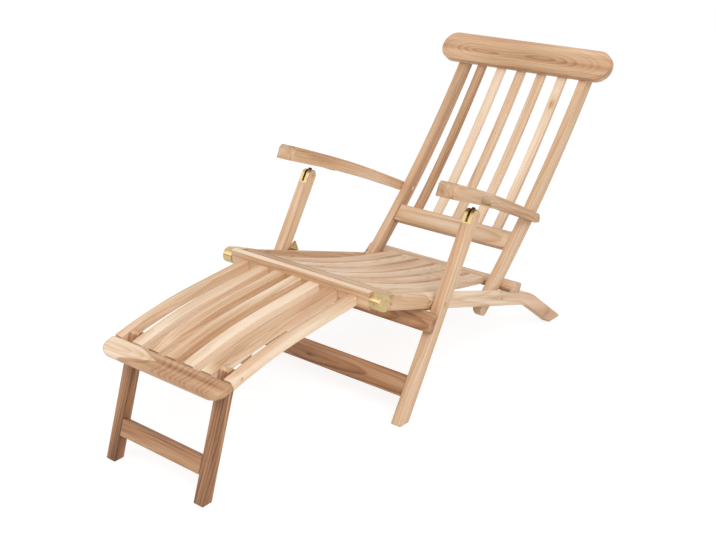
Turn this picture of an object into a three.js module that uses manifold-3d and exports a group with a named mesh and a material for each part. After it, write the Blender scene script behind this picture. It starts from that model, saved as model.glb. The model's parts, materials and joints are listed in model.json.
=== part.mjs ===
// Steamer deck chair in teak with brass fittings: a slatted seat frame on curved tails, a leg frame,
// a reclining back with cambered arms, and a footrest on its own folding legs.
// Millimetres, +Z up, the sitter looks along -Y, origin under the middle of the chair on the floor.
import * as THREE from "three";
import { mergeVertices } from "three/addons/utils/BufferGeometryUtils.js";
import Module from "manifold-3d";

// Widths across the chair
const legSpan = 590;
const legThickness = 30;
const railThickness = 30;
const stileThickness = 26;
const legRailGap = 2.4;
const railStileGap = 5.6;
const fitGap = 0.3;
const timberEase = 1.6;
const brassEase = 0.4;
const nearlySame = 0.02;

// Seat frame
const seatPivotHeight = 344;
const seatPitch = THREE.MathUtils.degToRad(17.5);
const railHeight = 38;
const seatLength = 571;
const kneeLength = 119;
const kneeRadius = 230;
const tailDrop = THREE.MathUtils.degToRad(19);
const tailToeRadius = 18;
const railBevelHeight = 15;
const railBevelWidth = 19;
const railBevelStart = 62;
const railBevelRunout = 26;
const frontRailWidth = 44;
const frontRailHeight = 34;
const frontRailSetback = 28.4;
const rearRailBack = 95;
const rearRailHeight = 27;
const rearRailClearance = 0.8;
const slatWidth = 45;
const slatGap = 15;
const slatMargin = 28;
const slatThickness = 18;
const seatDip = 9;
const slatRise = 4;
const slatEndGap = 2.4;

// Footrest hinge on the noses of the seat rails
const hingeCapThickness = 1.6;
const hingeCapLength = 38;
const hingeCapCheek = 16;
const hingeCapSlant = 7;
const hingeSlit = 2.4;
const hingePinRadius = 4;
const hingePinDepth = 24;

// Leg frame
const legLean = THREE.MathUtils.degToRad(31.8);
const legPivotAlong = 229;
const legDepth = 33;
const legForkReach = 241;
const legForkSlot = 11;
const legForkDepth = 42;
const footChamfer = 4;
const upperStretcherHeight = 52;
const upperStretcherThickness = 20;
const upperStretcherDrop = 31;
const lowerStretcherHeight = 57;
const lowerStretcherThickness = 18;
const lowerStretcherDrop = 201;
const lowerStretcherSetback = 1.5;
const boltRadius = 4;
const boltHeadRadius = 6.5;
const boltHeadHeight = 1.6;
const stopPlateThickness = 1.8;
const stopPlateWidth = 40;
const stopLipNear = 22;
const stopLipFar = 38;
const stopLipThickness = 2.4;
const stopLipReach = 15;
const stopHeadNear = 12;
const stopHeadMiddle = 34;
const stopHeadFar = 54;
const stopHeadRise = 26;
const stopHeadRadius = 4;
const saddleThickness = 1.5;
const saddleHeight = 44;
const catchThickness = 5;
const catchWidth = 13;
const catchClearance = 5.8;
const catchHeelShare = 0.9;
const catchTipShare = 0.8;

// Back
const backLean = THREE.MathUtils.degToRad(41);
const backRadius = 3440;
const backLength = 796;
const stileDepth = 38;
const stileTailLength = 62;
const stileTailRadius = 13;
const backSlatCount = 5;
const backSlatWidth = 28;
const backSlatThickness = 14;
const backRailAlong = 150;
const backRailHeight = 54;
const backRailThickness = 22;
const backMemberSetback = 11;
const headrestLength = 592;
const headrestHeight = 92;
const headrestThickness = 24;
const headrestInset = 35;

// Arms
const armPivotAlong = 270;
const armSlope = THREE.MathUtils.degToRad(23.2);
const armLength = 552;
const armThickness = 41;
const armRearThickness = 29;
const armCamber = 7.5;
const armOverhang = 5;
const armFrontWidth = 60;
const armEndRadius = 17;
const armRearWidth = 22;
const armStileGap = 2.4;
const armNoseOverhang = 14.5;
const rackLength = 128;
const rackWidth = 18;
const rackThickness = 3;
const rackNotches = 5;
const rackNotchLength = 8;
const rackRearShare = 0.56;
const armWaistShare = 0.24;
const armHandShare = 0.62;

// Footrest
const footrestSlope = THREE.MathUtils.degToRad(5);
const footrestStraight = 200;
const footrestRadius = 1350;
const footrestLength = 507;
const footrestRailWidth = 46;
const footrestRailHeight = 30;
const footrestTopRise = 9.5;
const hingeRoundRadius = 27.6;
const footrestRailInset = 37.5;
const footrestRailThickness = 26;
const footrestSlatWidth = 35;
const footrestSlatGap = 2.5;
const footrestSlatSpacing = 20;
const footrestMemberHeight = 25;
const footrestSlatThickness = 25;
const endBoardDepth = 56;
const endBoardThickness = 20;
const endBoardOverhang = 5.9;
const endBoardFrontRadius = 36;
const endBoardRearRadius = 11;
const endBoardRound = 8;
const endBoardRoundSteps = 3;
const footrestLegAlong = 421;
const footrestLegGap = 2.1;
const footrestLegThickness = 31;
const footrestLegDepth = 28;
const footrestLegLean = THREE.MathUtils.degToRad(18.7);
const footrestStretcherHeight = 24;
const footrestStretcherThickness = 18;
const footrestStretcherRise = 66;

// Finishes
const teakTones = [0xd9b48c, 0xcfa67c, 0xe0bf99, 0xd4ac84, 0xc99c70, 0xdcb994, 0xd1a981];
const brassTone = 0xc9a545;
const ironTone = 0x2b211a;

const wasm = await Module();
wasm.setup();

// Solids and their joins and cuts
function solidOf(geometry) {
  const bare = geometry.clone();
  bare.deleteAttribute("normal");
  bare.deleteAttribute("uv");
  const merged = mergeVertices(bare, 1e-3);
  return new wasm.Manifold(
    new wasm.Mesh({
      numProp: 3,
      vertProperties: merged.attributes.position.array,
      triVerts: new Uint32Array(merged.index.array),
    }),
  );
}

function geometryOf(solid) {
  const mesh = solid.getMesh();
  const geometry = new THREE.BufferGeometry();
  geometry.setAttribute("position", new THREE.BufferAttribute(mesh.vertProperties, 3));
  geometry.setIndex(new THREE.BufferAttribute(mesh.triVerts, 1));
  geometry.computeVertexNormals();
  return geometry;
}

const cut = (geometry, ...tools) =>
  geometryOf(tools.reduce((left, tool) => left.subtract(solidOf(tool)), solidOf(geometry)));
const join = (geometry, ...others) =>
  geometryOf(others.reduce((sum, other) => sum.add(solidOf(other)), solidOf(geometry)));
const common = (geometry, other) =>
  geometryOf(solidOf(geometry).intersect(solidOf(other)));

// Outlines are drawn in the side view (along, up) or, for boards, in plan (across, along)
const point = (along, up) => new THREE.Vector2(along, up);

// A closed outline whose corners are rounded by their own radii
function roundedOutline(corners, radii) {
  const shape = new THREE.Shape();
  corners.forEach((corner, i) => {
    const before = corners[(i + corners.length - 1) % corners.length];
    const after = corners[(i + 1) % corners.length];
    const radius = radii[i];
    if (!radius) {
      if (i) shape.lineTo(corner.x, corner.y);
      else shape.moveTo(corner.x, corner.y);
      return;
    }
    const inward = before.clone().sub(corner).normalize();
    const outward = after.clone().sub(corner).normalize();
    const halfTurn = Math.acos(THREE.MathUtils.clamp(inward.dot(outward), -1, 1)) / 2;
    const reach = radius / Math.tan(halfTurn);
    const start = corner.clone().addScaledVector(inward, reach);
    const end = corner.clone().addScaledVector(outward, reach);
    const middle = inward.clone().add(outward).normalize();
    const centre = corner.clone().addScaledVector(middle, radius / Math.sin(halfTurn));
    if (i) shape.lineTo(start.x, start.y);
    else shape.moveTo(start.x, start.y);
    const clockwise = inward.cross(outward) > 0;
    shape.absarc(
      centre.x,
      centre.y,
      radius,
      Math.atan2(start.y - centre.y, start.x - centre.x),
      Math.atan2(end.y - centre.y, end.x - centre.x),
      clockwise,
    );
  });
  shape.closePath();
  return shape;
}

const rectangle = (along, up, length, height) => [
  point(along, up),
  point(along + length, up),
  point(along + length, up + height),
  point(along, up + height),
];

// A strip of even or changing depth that follows a centre line, given as place(share) and depth(share)
function bentOutline(place, depth, steps) {
  const top = [];
  const bottom = [];
  for (let i = 0; i <= steps; i++) {
    const share = i / steps;
    const step = 1e-3;
    const here = place(share);
    const ahead = place(share + step).sub(place(share - step)).normalize();
    const normal = point(-ahead.y, ahead.x);
    top.push(here.clone().addScaledVector(normal, depth(share) / 2));
    bottom.push(here.clone().addScaledVector(normal, -depth(share) / 2));
  }
  return new THREE.Shape([...bottom, ...top.reverse()]);
}

// Extrudes an outline, without its repeated points, and eases the long edges of the solid
function extruded(shape, depth, ease, curveSegments, easeSteps = 1) {
  const points = shape.getPoints(curveSegments);
  const kept = points.filter(
    (place, i) => place.distanceTo(points[(i + points.length - 1) % points.length]) > nearlySame,
  );
  return new THREE.ExtrudeGeometry(new THREE.Shape(kept), {
    depth: depth - 2 * ease,
    bevelEnabled: ease > 0,
    bevelThickness: ease,
    bevelSize: ease,
    bevelOffset: -ease,
    bevelSegments: easeSteps,
    steps: 1,
  });
}

// Turns a side-view outline into a member across the chair, centred on x
function across(shape, width, x = 0, ease = timberEase, curveSegments = 5) {
  const geometry = extruded(shape, width, ease, curveSegments);
  geometry.translate(0, 0, ease - width / 2);
  const turned = new THREE.Matrix4().makeBasis(
    new THREE.Vector3(0, 1, 0),
    new THREE.Vector3(0, 0, 1),
    new THREE.Vector3(1, 0, 0),
  );
  geometry.applyMatrix4(turned);
  geometry.translate(x, 0, 0);
  return geometry;
}

// Extrudes a plan outline (across, along) upwards from its lower face
function upright(shape, height, up, ease = timberEase, curveSegments = 8, easeSteps = 1) {
  const geometry = extruded(shape, height, ease, curveSegments, easeSteps);
  geometry.translate(0, 0, up + ease);
  return geometry;
}

const crossBar = (along, up, length, height, width, x = 0, radius = 0, ease = timberEase) =>
  across(roundedOutline(rectangle(along, up, length, height), Array(4).fill(radius)), width, x, ease);

const pinAcross = (radius, length, x, along, up, sides = 12) => {
  const geometry = new THREE.CylinderGeometry(radius, radius, length, sides);
  geometry.rotateZ(Math.PI / 2);
  geometry.translate(x, along, up);
  return geometry;
};

// Pieces are added to the group of the body that carries them
let toneTurn = 0;
const sides = [
  { name: "left", sign: 1 },
  { name: "right", sign: -1 },
];

function piece(body, name, geometry, material) {
  const mesh = new THREE.Mesh(geometry, material);
  mesh.name = name;
  body.add(mesh);
  return mesh;
}

function teak(body, name, geometry) {
  const color = teakTones[toneTurn++ % teakTones.length];
  return piece(body, name, geometry, new THREE.MeshStandardMaterial({ color, roughness: 0.62 }));
}

const brass = (body, name, geometry) =>
  piece(body, name, geometry,
    new THREE.MeshStandardMaterial({ color: brassTone, roughness: 0.28, metalness: 1 }));

const iron = (body, name, geometry) =>
  piece(body, name, geometry,
    new THREE.MeshStandardMaterial({ color: ironTone, roughness: 0.5, metalness: 0.8 }));

// Body frames: each group stands at its pivot, turned so that its own Y runs along the member
function bodyAt(parent, place, turn) {
  const group = new THREE.Group();
  group.position.set(0, place.x, place.y);
  group.rotation.x = turn;
  parent.add(group);
  return group;
}

const turned = (place, turn) => place.clone().rotateAround(point(0, 0), turn);

// Planes across the chair, worked out from the outside in
const legOuter = legSpan / 2;
const legInner = legOuter - legThickness;
const railOuter = legInner - legRailGap;
const railInner = railOuter - railThickness;
const stileOuter = railInner - railStileGap;
const stileInner = stileOuter - stileThickness;
const legX = (legOuter + legInner) / 2;
const railX = (railOuter + railInner) / 2;
const stileX = (stileOuter + stileInner) / 2;
const armInner = stileOuter + armStileGap;
const armOuter = legOuter + armOverhang;
const footrestRailX = railInner - footrestRailInset - footrestRailThickness / 2;
const footrestLegOuter = footrestRailX - footrestRailThickness / 2 - footrestLegGap;
const footrestLegInner = footrestLegOuter - footrestLegThickness;
const footrestLegX = (footrestLegOuter + footrestLegInner) / 2;

// As many seat slats as fit between the stiles, and footrest slats spread between the footrest's legs
const slatPitch = slatWidth + slatGap;
const seatSlatCount = Math.floor((2 * (stileInner - slatMargin) + slatGap) / slatPitch);
const footrestSlatReach = footrestLegInner - footrestSlatGap - footrestSlatWidth / 2;
const footrestSlatCount =
  1 + Math.floor((2 * footrestSlatReach) / (footrestSlatWidth + footrestSlatSpacing));
const footrestPitch = (2 * footrestSlatReach) / (footrestSlatCount - 1);

// Pivots in the chair's side view; the footrest pivot is the datum
const seatPivot = point(0, seatPivotHeight);
const onSeat = (along, up = 0) => seatPivot.clone().add(turned(point(along, up), -seatPitch));
const legPivot = onSeat(legPivotAlong);
const backPivot = onSeat(seatLength);
const backPlace = (along) =>
  point(
    backRadius * Math.sin(along / backRadius),
    backRadius * (1 - Math.cos(along / backRadius)),
  );
const headrestAlong = backLength - headrestInset;
const armPivot = backPivot.clone().add(turned(backPlace(armPivotAlong), backLean));

const chair = new THREE.Group();

// Seat frame
const seat = bodyAt(chair, seatPivot, -seatPitch);
const railHalf = railHeight / 2;
const railTop = railHalf;
const stileOnSeat = backLean + seatPitch;
const stileBackAt = (up) =>
  seatLength + up / Math.tan(stileOnSeat) + stileDepth / 2 / Math.sin(stileOnSeat);
const rearRailLow = railTop + fitGap;
const rearRailTop = rearRailLow + rearRailHeight;
const rearRailFrontAt = (up) => stileBackAt(up) + rearRailClearance;

// Height of the floor below a place on the seat's own axes
const floorUnderSeat = (along) =>
  (along * Math.sin(seatPitch) - seatPivotHeight) / Math.cos(seatPitch);

function railOutline() {
  const kneeStart = seatLength + kneeLength;
  const knee = point(kneeStart, -kneeRadius);
  const outer = kneeRadius + railHalf;
  const inner = kneeRadius - railHalf;
  const out = point(Math.sin(tailDrop), Math.cos(tailDrop));
  const along = point(Math.cos(tailDrop), -Math.sin(tailDrop));
  const topLeave = knee.clone().addScaledVector(out, outer);
  const lowLeave = knee.clone().addScaledVector(out, inner);
  const meetFloor = (start) => {
    const fall = Math.tan(seatPitch);
    const floorHere = floorUnderSeat(start.x);
    return (floorHere - start.y) / (along.y - fall * along.x);
  };
  const topToe = topLeave.clone().addScaledVector(along, meetFloor(topLeave));
  const lowToe = lowLeave.clone().addScaledVector(along, meetFloor(lowLeave));
  const shape = new THREE.Shape();
  const noseStart = Math.PI / 2;
  shape.absarc(0, 0, railHalf, noseStart, -noseStart, false);
  shape.lineTo(kneeStart, -railHalf);
  shape.absarc(knee.x, knee.y, inner, Math.PI / 2, Math.PI / 2 - tailDrop, true);
  shape.lineTo(lowToe.x, lowToe.y);
  const sole = topToe.clone().sub(lowToe);
  const heel = lowToe.clone().addScaledVector(sole, 1 - tailToeRadius / sole.length());
  const lift = topToe.clone().addScaledVector(along, -tailToeRadius);
  shape.lineTo(heel.x, heel.y);
  shape.quadraticCurveTo(topToe.x, topToe.y, lift.x, lift.y);
  shape.lineTo(topLeave.x, topLeave.y);
  shape.absarc(knee.x, knee.y, outer, Math.PI / 2 - tailDrop, Math.PI / 2, false);
  shape.closePath();
  return shape;
}

function seatRail(sign) {
  const body = across(railOutline(), railThickness, sign * railX, timberEase, 7);
  const bevelEnd = rearRailFrontAt(railTop);
  const bevel = roundedOutline(
    [
      point(railBevelStart, railTop + railBevelHeight),
      point(railBevelStart, railTop),
      point(railBevelStart + railBevelRunout, railTop - railBevelHeight),
      point(bevelEnd - railBevelRunout, railTop - railBevelHeight),
      point(bevelEnd, railTop),
      point(bevelEnd, railTop + railBevelHeight),
    ],
    [0, 0, railBevelRunout, railBevelRunout, 0, 0],
  );
  const wedge = across(bevel, railBevelWidth * 2, 0, 0);
  const shear = new THREE.Matrix4().set(
    1, 0, 0, 0,
    0, 1, 0, 0,
    -sign * (railBevelHeight / railBevelWidth), 0, 1, 0,
    0, 0, 0, 1,
  );
  wedge.applyMatrix4(shear);
  wedge.translate(sign * railOuter, 0, 0);
  const hole = pinAcross(hingePinRadius + fitGap, railThickness * 2, sign * railX, 0, 0);
  const legHole = pinAcross(boltRadius + fitGap, railThickness * 2, sign * railX, legPivotAlong, 0);
  const backHole = pinAcross(boltRadius + fitGap, railThickness * 2, sign * railX, seatLength, 0);
  return cut(body, wedge, hole, legHole, backHole);
}

const seatInnerWidth = 2 * (railInner - fitGap);
const frontRailEnd = frontRailSetback + frontRailWidth;
const seatSlatTop = (share) => {
  const rise = rearRailHeight - slatRise;
  return railTop + rise * share * share - 4 * seatDip * share * (1 - share);
};

function buildSeat() {
  for (const { name, sign } of sides) {
    teak(seat, "seat_rail_" + name, seatRail(sign));
  }
  const frontUp = railTop - frontRailHeight;
  teak(seat, "seat_front_rail",
    crossBar(frontRailSetback, frontUp, frontRailWidth, frontRailHeight, seatInnerWidth));
  const rearRail = new THREE.Shape([
    point(rearRailFrontAt(rearRailLow), rearRailLow),
    point(seatLength + rearRailBack, rearRailLow),
    point(seatLength + rearRailBack, rearRailTop),
    point(rearRailFrontAt(rearRailTop), rearRailTop),
  ]);
  teak(seat, "seat_rear_rail", across(rearRail, 2 * railOuter));
  const slatStart = frontRailEnd + slatEndGap;
  const slatRun = rearRailFrontAt(railTop + rearRailHeight - slatRise - slatThickness) - slatEndGap - slatStart;
  const centre = (share) =>
    point(slatStart + slatRun * share, seatSlatTop(share) - slatThickness / 2);
  const outline = bentOutline(centre, () => slatThickness, 14);
  const first = -(seatSlatCount - 1) / 2;
  for (let i = 0; i < seatSlatCount; i++) {
    teak(seat, "seat_slat_" + (i + 1), across(outline, slatWidth, (first + i) * slatPitch));
  }
}

// Brass straps bent round the rail noses, in which the footrest turns; the top one reaches furthest
function hingeCap(sign) {
  const skin = railHalf + fitGap;
  const outer = skin + hingeCapThickness;
  const strap = (radius, length, slant) => {
    const shape = new THREE.Shape();
    shape.absarc(0, 0, radius, Math.PI / 2, -Math.PI / 2, false);
    shape.lineTo(length, -radius);
    shape.lineTo(length + slant, radius);
    shape.closePath();
    return shape;
  };
  const plateX = railOuter + fitGap + hingeCapThickness / 2;
  const reach = railThickness + fitGap;
  const middle = sign * (plateX - reach / 2);
  const shell = across(strap(outer, hingeCapLength, 0), reach, middle, brassEase);
  const hollow = across(strap(skin, hingeCapLength, 0), reach + railThickness, middle, 0);
  const under = crossBar(hingeCapCheek, -2 * outer, hingeCapLength, 2 * outer, 2 * reach, middle, 0, 0);
  const cheek = across(strap(outer, hingeCapCheek, hingeCapSlant), hingeCapThickness, sign * plateX, brassEase);
  const open = crossBar(hingeCapLength, -outer, outer, 2 * outer, 4 * railThickness, sign * railX, 0, 0);
  const slit = crossBar(-2 * outer, -hingeSlit / 2, 2 * outer, hingeSlit,
    2 * (reach - hingeCapThickness), sign * (plateX - reach), 0, 0);
  const hole = pinAcross(hingePinRadius + fitGap, 4 * railThickness, sign * railX, 0, 0);
  return cut(join(cut(shell, hollow, under), cheek), open, slit, hole);
}

function hingePin(sign) {
  const outer = railOuter + fitGap + hingeCapThickness;
  const inner = railInner - hingePinDepth;
  return pinAcross(hingePinRadius, outer - inner, sign * (inner + outer) / 2, 0, 0);
}

// Leg frame
const legs = bodyAt(chair, legPivot, -legLean);
const legHalf = legDepth / 2;
const footDrop = (across) => (legPivot.y - across * Math.sin(legLean)) / Math.cos(legLean);

function legOutline() {
  const front = -legHalf;
  const back = legHalf;
  const frontFoot = point(front, -footDrop(front));
  const backFoot = point(back, -footDrop(back));
  const shape = roundedOutline(
    [
      backFoot,
      point(back, legForkReach + legHalf),
      point(front, legForkReach + legHalf),
      frontFoot,
    ],
    [footChamfer, legHalf - fitGap, legHalf - fitGap, footChamfer],
  );
  return shape;
}

const forkTop = legForkReach + legHalf;
const slotFloor = forkTop - legForkDepth;
const saddleLow = forkTop - saddleHeight;

function leg(sign) {
  const body = across(legOutline(), legThickness, sign * legX, timberEase);
  const slot = crossBar(-legDepth, slotFloor, 2 * legDepth, 2 * legForkDepth, legForkSlot, sign * legX, 0, 0);
  const bore = (up) =>
    pinAcross(boltRadius + fitGap, 2 * legThickness, sign * legX, 0, up);
  return cut(body, slot, saddleRebate(sign), bore(0), bore(legForkReach));
}

// The fork's end seen from the side, drawn in from the leg's own outline
function forkOutline(inset, low) {
  const reach = legHalf - inset;
  const round = reach - fitGap;
  return roundedOutline(
    [
      point(reach, low),
      point(reach, forkTop - inset),
      point(-reach, forkTop - inset),
      point(-reach, low),
    ],
    [0, round, round, 0],
  );
}

// A brass saddle is let in round the fork's end, front, top and back, and lines the slot
function saddleRebate(sign) {
  const block = crossBar(-legDepth, saddleLow - fitGap, 2 * legDepth, 2 * saddleHeight,
    legThickness + 4 * timberEase, sign * legX, 0, 0);
  const core = across(forkOutline(saddleThickness + fitGap, saddleLow - legDepth),
    2 * legThickness, sign * legX, 0);
  return cut(block, core);
}

function saddle(sign) {
  const strap = across(forkOutline(0, saddleLow), legThickness - 2 * timberEase, sign * legX, brassEase);
  const core = across(forkOutline(saddleThickness, saddleLow - legDepth), 2 * legThickness, sign * legX, 0);
  const liner = legForkSlot - 2 * fitGap;
  const lining = across(forkOutline(0, slotFloor + fitGap), liner, sign * legX, 0);
  const mouth = crossBar(-legDepth, slotFloor + fitGap + saddleThickness, 2 * legDepth, 2 * legForkDepth,
    liner - 2 * saddleThickness, sign * legX, 0, 0);
  const bore = pinAcross(boltRadius + fitGap, legThickness, sign * legX, 0, legForkReach);
  return cut(join(cut(strap, core), lining), mouth, bore);
}

// The catch stands in the fork on its pin and reaches up to the rack under the arm
function armUnder(place) {
  const local = turned(place.clone().sub(armPivot), armSlope);
  const share = THREE.MathUtils.clamp(-local.x / armLength, 0, 1);
  return armCentre(share).y - armDepth(share) / 2 - local.y;
}

const armCentre = (share) =>
  point(-armLength * share, armCamber * Math.sin(Math.PI * share));
const armDepth = (share) => THREE.MathUtils.lerp(armRearThickness, armThickness, share);

function catchPiece(sign) {
  const forkPin = legPivot.clone().add(turned(point(0, legForkReach), -legLean));
  const turnBack = legLean - armSlope;
  const tip = armUnder(forkPin) - rackThickness - catchClearance;
  const half = catchWidth / 2;
  const corners = [
    point(-half, -half),
    point(half, -half),
    point(half * catchTipShare, tip),
    point(-half * catchTipShare, tip),
  ];
  const heel = half * catchHeelShare;
  const blade = across(roundedOutline(corners, [heel, heel, 0, 0]),
    catchThickness, sign * legX, brassEase);
  blade.rotateX(turnBack);
  blade.translate(0, 0, legForkReach);
  return cut(blade, pinAcross(boltRadius + fitGap, legThickness, sign * legX, 0, legForkReach));
}

function forkPin(sign) {
  const length = legThickness - 2 * fitGap;
  return pinAcross(boltRadius, length, sign * legX, 0, legForkReach);
}

// A slanted plate between leg and rail: its pointed head stands above the rail, with a lip over
// the rail behind the leg and one under it in front
function stopPlate(sign) {
  const plateX = sign * (legInner - (legRailGap - stopPlateThickness) / 2 - stopPlateThickness / 2);
  const reach = railHalf + fitGap;
  const top = reach + stopLipThickness;
  const outline = roundedOutline(
    [
      point(-stopLipFar, -top),
      point(stopPlateWidth - stopLipFar, -top),
      point(stopHeadFar, reach),
      point(stopHeadMiddle, reach + stopHeadRise),
      point(stopHeadNear, reach),
    ],
    [0, 0, 0, stopHeadRadius, 0],
  );
  const web = across(outline, stopPlateThickness, plateX, 0);
  const lip = (up) => {
    const along = up > 0 ? stopLipNear : -stopLipFar;
    const width = stopPlateThickness + stopLipReach;
    return crossBar(along, Math.min(up * reach, up * top), stopLipFar - stopLipNear, stopLipThickness,
      width, plateX - sign * stopLipReach / 2, 0, 0);
  };
  const made = join(web, lip(1), lip(-1));
  made.rotateX(legLean - seatPitch);
  return cut(made, pinAcross(boltRadius + fitGap, legThickness, plateX, 0, 0));
}

function legBolt(sign) {
  const outer = legOuter + fitGap;
  const inner = railInner - fitGap;
  const shank = outer - inner;
  return join(
    pinAcross(boltRadius, shank + boltHeadHeight, sign * (inner + outer) / 2, legPivotAlong, 0),
    pinAcross(boltHeadRadius, boltHeadHeight, sign * (outer + boltHeadHeight / 2), legPivotAlong, 0, 20),
    pinAcross(boltHeadRadius, boltHeadHeight, sign * (inner - boltHeadHeight / 2), legPivotAlong, 0, 20),
  );
}

function buildLegs() {
  for (const { name, sign } of sides) {
    teak(legs, "leg_" + name, leg(sign));
    brass(legs, "saddle_plate_" + name, saddle(sign));
    iron(legs, "arm_catch_" + name, catchPiece(sign));
    brass(legs, "fork_pin_" + name, forkPin(sign));
    brass(legs, "stop_plate_" + name, stopPlate(sign));
    brass(seat, "leg_bolt_" + name, legBolt(sign));
  }
  const upperTop = -upperStretcherDrop;
  teak(legs, "leg_upper_stretcher",
    crossBar(-legHalf - fitGap - upperStretcherThickness, upperTop - upperStretcherHeight,
      upperStretcherThickness, upperStretcherHeight, legSpan));
  teak(legs, "leg_lower_stretcher",
    crossBar(-legHalf + lowerStretcherSetback, -lowerStretcherDrop - lowerStretcherHeight,
      lowerStretcherThickness, lowerStretcherHeight, 2 * (legInner - fitGap)));
}

// Back: stiles and slats bent to one radius, along the curve from the pivot
const back = bodyAt(chair, backPivot, backLean);
const onBack = (along, up) => {
  const turn = along / backRadius;
  return backPlace(along).addScaledVector(point(-Math.sin(turn), Math.cos(turn)), up);
};
const stileHalf = stileDepth / 2;

function stile(sign) {
  const run = backLength;
  const outline = bentOutline((share) => onBack(run * share, 0), () => stileDepth, 12);
  const upper = across(outline, stileThickness, sign * stileX);
  const tail = across(
    roundedOutline(rectangle(-stileTailLength, -stileHalf, stileTailLength + stileDepth, stileDepth),
      [stileTailRadius, 0, 0, stileTailRadius]),
    stileThickness, sign * stileX);
  const bore = (place) =>
    pinAcross(boltRadius + fitGap, 2 * stileThickness, sign * stileX, place.x, place.y);
  return cut(join(upper, tail), bore(point(0, 0)), bore(onBack(armPivotAlong, 0)));
}

// A board across the back, upright on the curve: along gives its lower edge
function backBoard(along, low, height, thickness, width, radius = 0) {
  const geometry = crossBar(0, low, height, thickness, width, 0, radius);
  geometry.rotateX(along / backRadius);
  const foot = onBack(along, 0);
  geometry.translate(0, foot.x, foot.y);
  return geometry;
}

function headrest() {
  const half = headrestHeight / 2;
  const straight = headrestLength / 2 - half;
  const shape = new THREE.Shape();
  shape.absarc(straight, 0, half, -Math.PI / 2, Math.PI / 2, false);
  shape.absarc(-straight, 0, half, Math.PI / 2, (3 * Math.PI) / 2, false);
  shape.closePath();
  const bow = (half * half) / backRadius;
  const geometry = upright(shape, headrestThickness, stileHalf + bow + fitGap, timberEase, 12);
  geometry.rotateX(headrestAlong / backRadius);
  const foot = onBack(headrestAlong, 0);
  geometry.translate(0, foot.x, foot.y);
  return geometry;
}

function buildBack() {
  for (const { name, sign } of sides) {
    teak(back, "back_stile_" + name, stile(sign));
  }
  const low = -stileHalf + backMemberSetback;
  const innerWidth = 2 * (stileInner - fitGap);
  teak(back, "back_lower_rail",
    backBoard(backRailAlong, low, backRailHeight, backRailThickness, innerWidth));
  teak(back, "headrest", headrest());
  const start = backRailAlong + backRailHeight + fitGap;
  const run = headrestAlong - start;
  const centreUp = stileHalf - backSlatThickness / 2;
  const railCentre = low + backRailThickness / 2;
  const rise = (share) =>
    THREE.MathUtils.lerp(railCentre, centreUp, THREE.MathUtils.smoothstep(share, 0, 1));
  const outline = bentOutline((share) => onBack(start + run * share, rise(share)),
    () => backSlatThickness, 12);
  const pitch = (2 * stileX) / (backSlatCount + 1);
  const first = -(backSlatCount - 1) / 2;
  for (let i = 0; i < backSlatCount; i++) {
    teak(back, "back_slat_" + (i + 1), across(outline, backSlatWidth, (first + i) * pitch));
  }
}

// Pivot bolts of the back: the fold and the recline share their axis
const backBolts = bodyAt(chair, backPivot, 0);

function backBolt(sign) {
  const outer = railOuter - boltHeadHeight;
  const inner = stileInner - fitGap;
  const length = outer - inner;
  return join(
    pinAcross(boltRadius, length, sign * (inner + length / 2), 0, 0),
    pinAcross(boltHeadRadius, boltHeadHeight, sign * (inner - boltHeadHeight / 2), 0, 0, 20),
    pinAcross(boltHeadRadius, railStileGap - 2 * fitGap,
      sign * (stileOuter + railStileGap / 2), 0, 0, 20),
  );
}

// Arms: cambered boards, narrow beside the stile and broad at the hand
const arms = bodyAt(chair, armPivot, -armSlope);

function armPlan(sign) {
  const rear = armNoseOverhang;
  const front = -armLength;
  const frontInner = armOuter - armFrontWidth;
  const waist = -armLength * armWaistShare;
  const hand = -armLength * armHandShare;
  const shape = new THREE.Shape();
  shape.moveTo(armInner, rear);
  shape.lineTo(armInner, waist);
  shape.bezierCurveTo(armInner, hand, frontInner, hand, frontInner, front + armEndRadius);
  shape.absarc(frontInner + armEndRadius, front + armEndRadius, armEndRadius,
    Math.PI, 1.5 * Math.PI, false);
  shape.absarc(armOuter - armEndRadius, front + armEndRadius, armEndRadius,
    1.5 * Math.PI, 2 * Math.PI, false);
  shape.bezierCurveTo(armOuter, hand, armInner + armRearWidth, hand, armInner + armRearWidth, waist / 2);
  shape.lineTo(armInner + armRearWidth, rear);
  shape.closePath();
  const handed = new THREE.Shape(shape.getPoints(7).map((place) => point(sign * place.x, place.y)));
  return upright(handed, 6 * armThickness, -3 * armThickness, 0);
}

function arm(sign) {
  const outline = bentOutline(armCentre, armDepth, 16);
  const width = armOuter - armInner;
  const body = across(outline, width + timberEase, sign * (armInner + armOuter) / 2);
  const nose = across(
    roundedOutline(
      rectangle(-armRearThickness, -armRearThickness / 2, armRearThickness + armNoseOverhang, armRearThickness),
      [0, armNoseOverhang - fitGap, armNoseOverhang - fitGap, 0]),
    width + timberEase, sign * (armInner + armOuter) / 2);
  const shaped = common(join(body, nose), armPlan(sign));
  const bore = pinAcross(boltRadius + fitGap, 2 * width, sign * (armInner + armOuter) / 2, 0, 0);
  return cut(shaped, bore, rackBlock(sign, fitGap));
}

// The rack is a notched brass strip let into the arm's underside
function rackBlock(sign, gap) {
  const start = -armLength * rackRearShare;
  const mid = rackCentreShare();
  const middle = armCentre(mid);
  const low = middle.y - armDepth(mid) / 2;
  const block = crossBar(start - rackLength - gap, low - 2 * rackThickness, rackLength + 2 * gap,
    3 * rackThickness + gap, rackWidth + 2 * gap, sign * legX, 0, 0);
  return block;
}

const rackCentreShare = () => rackRearShare + rackLength / 2 / armLength;

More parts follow.
